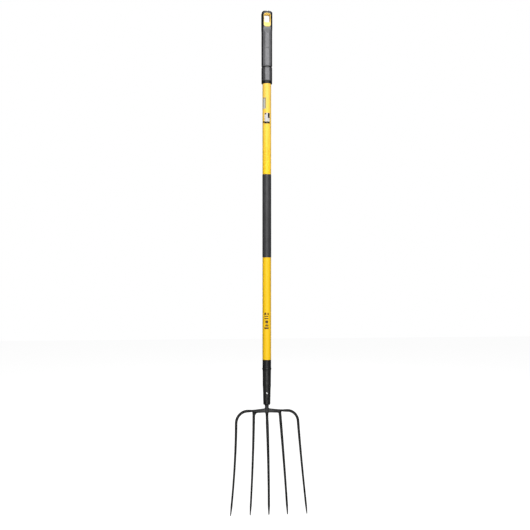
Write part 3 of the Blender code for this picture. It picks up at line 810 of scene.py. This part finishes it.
def ferrule_collar(finishes):
    """Make the plastic collar with three soft grooves round it."""
    low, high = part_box("ferrule_collar")
    top, end = TOP - high.z, TOP - low.z
    bore = TUBE_RADIUS + FIT
    outline = [(bore, top), (high.x - COLLAR_GROOVE, top)]
    for k in range(1, COLLAR_STEPS):
        share = k / COLLAR_STEPS
        wave = math.cos(share * COLLAR_WAVES * math.tau) * 0.5 + 0.5
        grooved = COLLAR_GROOVED[0] < share < COLLAR_GROOVED[1]
        depth = COLLAR_GROOVE * wave**COLLAR_SHARPNESS if grooved else 0.0
        outline.append((high.x - depth, top + (end - top) * share))
    outline += [(high.x - COLLAR_GROOVE, end), (bore, end)]
    collar = to_object("ferrule_collar_look", turned(outline))
    dress(collar, finishes["collar"], "collar_plastic", "ferrule_collar")


def film(name, place, finish, slot, nodes=(), corner=FILM_CORNER, lift=FILM_LIFT, thickness=FILM_THICKNESS):
    """Make a thin label with round corners, bent round the jacket."""
    top, end, start, stop = place
    inner = JACKET_RADIUS + lift
    half_turn = math.radians(stop - start) / 2
    middle = math.radians(start + stop) / 2
    corner = min(corner, (end - top) / 2 * CORNER_LIMIT, half_turn * inner * CORNER_LIMIT)
    stations = [top + corner * (1 - math.cos(angle)) for angle in QUARTER_TURN]
    stations += [end - corner * (1 - math.cos(angle)) for angle in reversed(QUARTER_TURN)]
    steps = max(4, round(math.degrees(2 * half_turn) / FILM_FACET_DEGREES))
    rings = []
    for station in stations:
        over = max(0.0, corner - min(station - top, end - station))
        shrink = corner - math.sqrt(max(corner**2 - over**2, 0.0))
        half = half_turn - shrink / inner
        angles = [middle + half * (2 * k / steps - 1) for k in range(steps + 1)]
        outline = [(inner, angle) for angle in angles]
        outline += [(inner + thickness, angle) for angle in reversed(angles)]
        rings.append([(r * math.sin(a), -r * math.cos(a), level(station)) for r, a in outline])
    dress(to_object(name, skin(rings)), finish, slot, *nodes)


def labels(finishes):
    """Make the grey label, the white sticker and the plain printed marks."""
    film("grey_label_look", GREY_LABEL, finishes["label"], "label_film", ("grey_label",))
    film("white_sticker_look", WHITE_STICKER, finishes["sticker"], "sticker_film", ("white_sticker",))
    rows = [(*row, FILM_LIFT + FILM_THICKNESS) for row in FILM_MARKS] + [(*row, 0.0) for row in FOOT_MARKS]
    for name, place, ink, lift in rows:
        slot = name.split("_")[0] + "_film"
        film(name, place, finishes[ink], slot, (), INK_CORNER, lift, INK_THICKNESS)
    for kind, ink, places in (("pale", "pale_ink", PALE_MARKS), ("dark", "brown_ink", DARK_MARKS)):
        for k, place in enumerate(places, 1):
            name = f"{kind}_mark_{k:02d}"
            film(name, place, finishes[ink], "jacket_plastic", (), INK_CORNER, 0.0, INK_THICKNESS)


# ---- ferrule


def ferrule_profile():
    """Return the ferrule's outside as (radius, station), densely from bead to end."""
    points = []
    for k in range(BEAD_STEPS + 1):
        angle = math.pi * k / BEAD_STEPS
        bulge = (FERRULE_HIGH.x - JACKET_RADIUS) * math.sin(angle) ** BEAD_FULLNESS
        points.append((JACKET_RADIUS + bulge, FERRULE_TOP + BEAD_HEIGHT * (1 - math.cos(angle)) / 2))
    first = points[-1][1]
    stations, radii = zip(*FERRULE_OUTSIDE)
    places = np.linspace(first, stations[-1], round((stations[-1] - first) / FERRULE_PITCH))
    curve = np.interp(places, (first, *stations), (JACKET_RADIUS, *radii))
    kernel = np.hanning(FERRULE_SMOOTHING)
    padded = np.pad(curve, FERRULE_SMOOTHING // 2, mode="edge")
    curve = np.convolve(padded, kernel / kernel.sum(), mode="valid")
    points += list(zip(curve[1:].tolist(), places[1:].tolist()))
    lowest = points[-1][0] - FERRULE_SHOULDER
    highest = FERRULE_END - FERRULE_SHOULDER
    for k in range(1, FERRULE_SHOULDER_STEPS + 1):
        angle = math.pi / 2 * k / FERRULE_SHOULDER_STEPS
        across, down = math.cos(angle), math.sin(angle)
        points.append((lowest + FERRULE_SHOULDER * across, highest + FERRULE_SHOULDER * down))
    return points


def crimp(points):
    """Press the ferrule's lower end so that its front and back stand out as a V."""
    station = TOP - points[:, 2]
    down = (station - (FERRULE_END - CRIMP_TOP)) / CRIMP_TOP
    half = CRIMP_WIDE + (CRIMP_NARROW - CRIMP_WIDE) * np.clip(down, 0, 1)
    beside = ease((np.abs(points[:, 0]) - half) / CRIMP_EDGE) * ease(down / CRIMP_RUN)
    points[:, 1] *= 1 - CRIMP_PRESS * beside
    above, half_width, half_height, depth = CRIMP_SLOT
    slot = np.exp(-((points[:, 0] / half_width) ** 2) - ((station - FERRULE_END + above) / half_height) ** 2)
    outside = ease((np.abs(points[:, 1]) - CRIMP_FACE[0]) / CRIMP_FACE[1])
    points[:, 1] -= np.sign(points[:, 1]) * depth * slot * outside


def crosspin(name, outline, sides):
    """Turn an outline of (radius, y) points about the rivet's axis."""
    angles = np.arange(sides) * math.tau / sides
    centre = level(RIVET_STATION)
    rings = []
    for radius, y in outline:
        z = centre + radius * np.sin(angles)
        rings.append(np.stack([radius * np.cos(angles), np.full(sides, y), z], 1))
    return to_object(name, skin(rings))


def ferrule(finishes):
    """Make the tapered socket with its rolled bead and crimped end."""
    outside = ferrule_profile()
    throat = NECK_RADIUS + FIT
    inside = [(throat, FERRULE_END), (throat, FERRULE_END - FERRULE_WALL)]
    for station, radius in reversed(FERRULE_OUTSIDE):
        if station > FERRULE_BORE_END:
            inside.append((radius - FERRULE_WALL, station))
    inside += [(TUBE_RADIUS + FIT, FERRULE_BORE_END), (TUBE_RADIUS + FIT, FERRULE_TOP)]
    bm = turned(outside + inside)
    reshape(bm, crimp)
    shell = to_object("ferrule_look", bm)
    shank = RIVET_RADIUS + FIT
    cutter = [(AXIS, -RIVET_REACH), (shank, -RIVET_REACH), (shank, RIVET_REACH), (AXIS, RIVET_REACH)]
    combine(shell, crosspin("rivet_hole", cutter, 32), "DIFFERENCE")
    dress(shell, finishes["ferrule"], "ferrule_enamel", "ferrule")


def rivet(finishes):
    """Make the through rivet with a domed head at each end."""
    under = RIVET_SEAT - RIVET_UNDERCUT
    half = [(RIVET_RADIUS, under), (RIVET_HEAD_RADIUS - RIVET_LIP, under)]
    for k in range(9):
        angle = math.radians(10 * k)
        height = RIVET_SEAT + RIVET_HEAD_HEIGHT * math.sin(angle)
        half.append((max(RIVET_HEAD_RADIUS * math.cos(angle), RIVET_CROWN), height))
    outline = [(radius, -y) for radius, y in reversed(half)] + half
    dress(crosspin("ferrule_rivet_look", outline, 48), finishes["rivet"], "rivet_steel", "ferrule_rivet")


# ---- head


def on_blade(x, drop):
    """Return points on the curved sheet that all the tines lie in."""
    share = np.clip(drop / TINE_DROP, 0, 1)
    return np.stack([x, -BOW * (1 - (1 - share) ** 2), level(CROSSBAR) - drop], -1)


def tine_radius(drop):
    """Return a tine's radius, which thins from its root and then comes to a blunt point."""
    share = 1 - drop / TINE_DROP
    radius = TIP_RADIUS + (ROOT_RADIUS - TIP_RADIUS) * share**2
    to_tip = np.clip((TINE_DROP - drop) / POINT_LENGTH, 0, 1)
    return radius * (POINT_BLUNTNESS + (1 - POINT_BLUNTNESS) * to_tip**POINT_CURVE)


def tine_x(shape, drop):
    """Return how far out a tine is at a drop."""
    root, splay, exponent = shape
    return root + splay * (drop / TINE_DROP) ** exponent


def splay_angle(shape, drop):
    """Return a tine's direction at a drop, as the turn from straight out along X."""
    _, splay, exponent = shape
    return math.pi / 2 - math.atan(splay * exponent / TINE_DROP * (drop / TINE_DROP) ** (exponent - 1))


def steps_between(start, stop, pitch=LINE_PITCH):
    """Return values from start up to, but not including, stop."""
    return np.linspace(start, stop, max(2, round(abs(stop - start) / pitch)), endpoint=False)


def line_of(x, drop, radius):
    """Return rows of x, y, z, radius along the blade."""
    radii = np.broadcast_to(radius, np.shape(drop))
    return np.column_stack([on_blade(np.asarray(x, float), np.asarray(drop, float)), radii])


def tine_run(side, shape, start, stoutness=1.0):
    """Return a tine's line from a drop to its rounded tip, thickening to its stoutness on the way."""
    drops = np.concatenate([
        steps_between(start, TINE_DROP - POINT_LENGTH),
        TINE_DROP - POINT_LENGTH * (1 - np.linspace(0, 1, POINT_STEPS)) ** POINT_CROWDING,
    ])
    thicker = 1 + (stoutness - 1) * ease((drops - start) / STOUT_RUN)
    line = line_of(side * tine_x(shape, drops), drops, tine_radius(drops) * thicker)
    tip = line[-1, 3]
    for k in range(1, TIP_STEPS):
        angle = math.pi / 2 * k / TIP_STEPS
        drop = TINE_DROP - tip + tip * math.sin(angle)
        row = line_of([side * tine_x(shape, drop)], [drop], tip * math.cos(angle))
        line = np.vstack([line[line[:, 2] > row[0, 2]], row])
    return line


def bend_line(side, start_x, start_drop, radius, start_angle, end_angle, start_size, end_size):
    """Return the line of a round bend that turns from outward to downward."""
    angles = steps_between(start_angle, end_angle, BEND_PITCH)
    share = (angles - start_angle) / (end_angle - start_angle)
    x = start_x + radius * (np.sin(angles) - math.sin(start_angle))
    drop = start_drop + radius * (math.cos(start_angle) - np.cos(angles))
    return line_of(side * x, drop, start_size + (end_size - start_size) * share)


def outer_line(side):
    """Return an outer tine's line: along the crossbar's top, round the shoulder and down."""
    shoulder = SHOULDER_RADII[side]
    turn = splay_angle(OUTER_TINE, OUTER_BAR_DROP + shoulder)
    landing = OUTER_BAR_DROP + shoulder * (1 - math.cos(turn))
    start_x = float(tine_x(OUTER_TINE, landing)) - shoulder * math.sin(turn)
    x = steps_between(0, start_x)
    drop = OUTER_BAR_DROP - OUTER_BAR_RISE * (1 - x / OUTER_BAR_FLAT) ** 2
    radius = BAR_RADIUS + (ROOT_RADIUS - BAR_RADIUS) * ease((x - SWELL_START) / (start_x - SWELL_START))
    bar = line_of(side * x, drop, radius)
    end_size = float(tine_radius(landing))
    bend = bend_line(side, start_x, OUTER_BAR_DROP, shoulder, 0, turn, ROOT_RADIUS, end_size)
    return np.vstack([bar, bend, tine_run(side, OUTER_TINE, landing)])


def inner_line(side):
    """Return an inner tine's line: along the crossbar's underside, round a tight knee and down."""
    slope = math.atan(INNER_BAR_SLOPE)
    knee_drop = INNER_BAR_DROP + INNER_BAR_SLOPE * (INNER_TINE[0] - KNEE_RADIUS - ROOT_GAP)
    turn = splay_angle(INNER_TINE, knee_drop + KNEE_RADIUS)
    landing = knee_drop + KNEE_RADIUS * (math.cos(slope) - math.cos(turn))
    start_x = float(tine_x(INNER_TINE, landing)) - KNEE_RADIUS * (math.sin(turn) - math.sin(slope))
    x = steps_between(0, start_x)
    bar = line_of(side * x, INNER_BAR_DROP + INNER_BAR_SLOPE * (x - ROOT_GAP), BAR_RADIUS)
    end_size = float(tine_radius(landing))
    bend = bend_line(side, start_x, knee_drop, KNEE_RADIUS, slope, turn, BAR_RADIUS, end_size)
    return np.vstack([bar, bend, tine_run(side, INNER_TINE, landing, INNER_STOUTNESS[side])])


def centre_line():
    """Return the middle bar's line from the neck inside the ferrule down to its tip."""
    root = NECK_STOPS[-1][0]
    drops = steps_between(NECK_STOPS[0][0], root, NECK_PITCH)
    neck = line_of(0 * drops, drops, np.interp(drops, *zip(*NECK_STOPS)))
    return np.vstack([neck, tine_run(1, CENTRE_TINE, root, CENTRE_STOUTNESS)])


def swept(line, sides=TINE_SIDES):
    """Sweep a circle along rows of x, y, z, radius."""
    points, radii = line[:, :3], line[:, 3]
    along = np.gradient(points, axis=0)
    along /= np.linalg.norm(along, axis=1)[:, None]
    across = np.cross(along, (0, 1, 0))
    across /= np.linalg.norm(across, axis=1)[:, None]
    through = np.cross(across, along)
    angles = (np.arange(sides) + 0.5) * math.tau / sides
    rings = []
    for i, centre in enumerate(points):
        offset = np.outer(np.cos(angles), across[i]) + np.outer(np.sin(angles), through[i])
        rings.append(centre + radii[i] * offset)
    return skin(rings)


def buried(line, shrink=0.0004, reach=0.003):
    """Thin a line's first stretch, so that it starts inside the body that it comes out of."""
    run = np.concatenate([[0], np.cumsum(np.linalg.norm(np.diff(line[:, :3], axis=0), axis=1))])
    line = line.copy()
    line[:, 3] -= shrink * (1 - ease(run / reach))
    return line


def bar_distance(points, line):
    """Return each point's distance to a tapering bar, and its direction from it."""
    start, stop = line[:-1], line[1:]
    span = stop[:, :3] - start[:, :3]
    share = ((points[:, None] - start[:, :3]) * span).sum(2) / (span**2).sum(1)
    share = np.clip(share, 0, 1)
    away = points[:, None] - start[:, :3] - share[..., None] * span
    length = np.linalg.norm(away, axis=2) + 1e-12
    distance = length - start[:, 3] - share * (stop[:, 3] - start[:, 3])
    rows = np.arange(len(points))
    nearest = distance.argmin(1)
    return distance[rows, nearest], away[rows, nearest] / length[rows, nearest][:, None]


def weld_field(points, bars):
    """Return the smooth union's signed distance at points, and its gradient."""
    found = [bar_distance(points, bar) for bar in bars]
    distances = np.array([distance for distance, _ in found])
    nearest = distances.min(0)
    weights = np.exp(-(distances - nearest) / WELD_BLEND)
    total = weights.sum(0)
    gradient = sum(weight[:, None] * direction for weight, (_, direction) in zip(weights, found))
    return nearest - WELD_BLEND * np.log(total), gradient / total[:, None]


def straight(start, stop, first, last, count):
    """Return a straight line of rows between two (x, y, drop) points."""
    share = np.linspace(0, 1, count)[:, None]
    points = np.array(start) * (1 - share) + np.array(stop) * share
    z = level(CROSSBAR) - points[:, 2]
    radii = first + (last - first) * share[:, 0]
    return np.column_stack([points[:, 0], points[:, 1], z, radii])


def mirrored(row, side):
    """Return a weld row with its x turned to one side."""
    start, stop, *rest = row
    return (side * start[0], *start[1:]), (side * stop[0], *stop[1:]), *rest


def weld_bars(outer, inner, centre):
    """Return the bars that make the welded crossbar, with its bead, ridges and webs."""
    lowest = level(CROSSBAR) - WELD_DROP
    bars = [line[(np.abs(line[:, 0]) < WELD_REACH) & (line[:, 2] > lowest)] for line in outer]
    bars += [line[line[:, 2] > lowest] for line in inner + [centre]]
    thinning, reach = WELD_THIN
    for bar in bars:
        from_end = np.linalg.norm(bar[:, :3] - bar[-1, :3], axis=1)
        bar[:, 3] -= thinning * (1 - ease(from_end / reach))
    rows = [WELD_BEAD]
    for side in (-1, 1):
        rows += [mirrored(row, side) for row in (*SIDE_RIDGES, WEBS[side], KNEE_ROOT)]
    return bars + [straight(*row) for row in (*rows, *NECK_RIDGES)]


def welded_crossbar(bars, finish):
    """Make the forged and welded crossbar as one blended body."""
    rough = bmesh.new()
    for bar in bars:
        part = swept(bar + (0, 0, 0, WELD_FATTEN), 12)
        mesh = bpy.data.meshes.new("part")
        part.to_mesh(mesh)
        part.free()
        rough.from_mesh(mesh)
        bpy.data.meshes.remove(mesh)
    body = to_object("welded_crossbar", rough)
    remesh = body.modifiers.new("remesh", "REMESH")
    remesh.mode = "VOXEL"
    remesh.voxel_size = WELD_VOXEL
    settle(body)
    points = np.array([vert.co for vert in body.data.vertices])
    for _ in range(WELD_ROUNDS):
        distance, gradient = weld_field(points, bars)
        step = distance / np.maximum((gradient**2).sum(1), WELD_FLATTEST)
        points -= np.clip(step, -WELD_STEP, WELD_STEP)[:, None] * gradient
    scale, height = WELD_LUMPS
    lumps = np.array([noise.noise(Vector(point) * scale) for point in points])
    points += (height * lumps)[:, None] * weld_field(points, bars)[1]
    body.data.vertices.foreach_set("co", points.astype(np.float32).ravel())
    body.data.update()
    body.data.shade_smooth()
    dress(body, finish, "tine_enamel", "centre_tine_and_tang")


def fork_head(finishes):
    """Make the five tines, the tang and the welded crossbar."""
    outer = [outer_line(side) for side in (-1, 1)]
    inner = [inner_line(side) for side in (-1, 1)]
    centre = centre_line()
    welded_crossbar(weld_bars(outer, inner, centre), finishes["tine"])
    beyond = WELD_REACH - WELD_OVERLAP
    below = level(CROSSBAR) - WELD_DROP + WELD_OVERLAP
    lines = [buried(line[np.abs(line[:, 0]) > beyond]) for line in outer]
    lines += [buried(line[line[:, 2] < below]) for line in (*inner, centre)]
    tip, *sizes = TANG
    lines.append(straight((0, 0, tip - CROSSBAR), (0, 0, FERRULE_END - CROSSBAR - TANG_OVERLAP), *sizes))
    tines = ["outer_tine_left", "outer_tine_right", "inner_tine_left", "inner_tine_right"]
    nodes = tines + ["centre_tine_and_tang"] * 2
    for name, node, line in zip(tines + ["centre_tine", "tang"], nodes, lines):
        dress(to_object(name + "_look", swept(line)), finishes["tine"], "tine_enamel", node)


# ---- scene


def hidden_nodes(finishes):
    """Give the CAD pieces inside the fork their own materials."""
    for node, finish in (("shaft_tube", "tube"), ("core_dowel", "dowel")):
        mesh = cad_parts[node].data
        mesh.materials.clear()
        mesh.materials.append(finishes[finish])


def aim(obj, target):
    """Turn a camera or light to look at a point."""
    obj.rotation_mode = "QUATERNION"
    obj.rotation_quaternion = (Vector(target) - obj.location).to_track_quat("-Z", "Y")


def camera():
    """Make the camera at the photograph's viewpoint."""
    data = bpy.data.cameras.new("camera")
    data.lens = LENS
    data.sensor_width = SENSOR
    obj = linked("camera", data)
    angle = math.radians(CAMERA_AZIMUTH)
    back = Vector((math.sin(angle), -math.cos(angle), 0))
    right = Vector((math.cos(angle), math.sin(angle), 0))
    obj.location = back * CAMERA_DISTANCE - right * CAMERA_OFFSET + Vector((0, 0, CAMERA_HEIGHT))
    aim(obj, obj.location - back)
    bpy.context.scene.camera = obj


def softbox(name, place, target, width, height, power, glossy=True, spread=180):
    """Add a large soft lamp, unseen by the camera."""
    data = bpy.data.lights.new(name, "AREA")
    data.shape = "RECTANGLE"
    data.size = width
    data.size_y = height
    data.energy = power
    data.spread = math.radians(spread)
    obj = linked(name, data)
    obj.location = place
    aim(obj, target)
    obj.visible_camera = False
    obj.visible_glossy = glossy


def surroundings():
    """Make a white world that the camera sees, and that lights the tool only faintly."""
    world = bpy.data.worlds.new("studio")
    bpy.context.scene.world = world
    world.use_nodes = True
    tree = world.node_tree
    tree.nodes.remove(tree.nodes["Background"])
    skies = [add(tree, "Background", ("Color", WHITE), ("Strength", strength)) for strength in SKY_STRENGTHS]
    seen, soft, dark = [sky.outputs[0] for sky in skies]
    rays = add(tree, "LightPath").outputs
    unseen = add(tree, "MixShader", (0, rays["Is Glossy Ray"]), (1, soft), (2, dark))
    mix = add(tree, "MixShader", (0, rays["Is Camera Ray"]), (1, unseen.outputs[0]), (2, seen))
    tree.links.new(mix.outputs[0], tree.nodes["World Output"].inputs["Surface"])


def floor():
    """Make the pale, glowing floor, which the camera sees but which lights nothing."""
    bm = bmesh.new()
    bmesh.ops.create_grid(bm, x_segments=1, y_segments=1, size=FLOOR_SIZE)
    ground = to_object("floor", bm)
    ground.location.z = cad_bounds[0].z - FLOOR_GAP
    material, tree, inputs = new_material("floor_paint")
    plug(tree, inputs["Base Color"], blend_colour(tree, grain(tree, FLOOR_GRAIN), *FLOOR_TONES))
    inputs["Roughness"].default_value = FLOOR_ROUGHNESS
    inputs["Emission Color"].default_value = WHITE
    inputs["Emission Strength"].default_value = FLOOR_GLOW
    ground.data.materials.append(material)
    ground.visible_diffuse = False
    ground.visible_glossy = False


def build():
    """Make the scene."""
    camera()
    for lamp in LAMPS:
        softbox(*lamp)
    surroundings()
    floor()
    bpy.context.scene.view_settings.view_transform = "Standard"
    finishes = make_finishes()
    end_grip(finishes)
    end_grip_core(finishes)
    shaft_tubes(finishes)
    ferrule_collar(finishes)
    labels(finishes)
    ferrule(finishes)
    rivet(finishes)
    fork_head(finishes)
    hidden_nodes(finishes)


build()
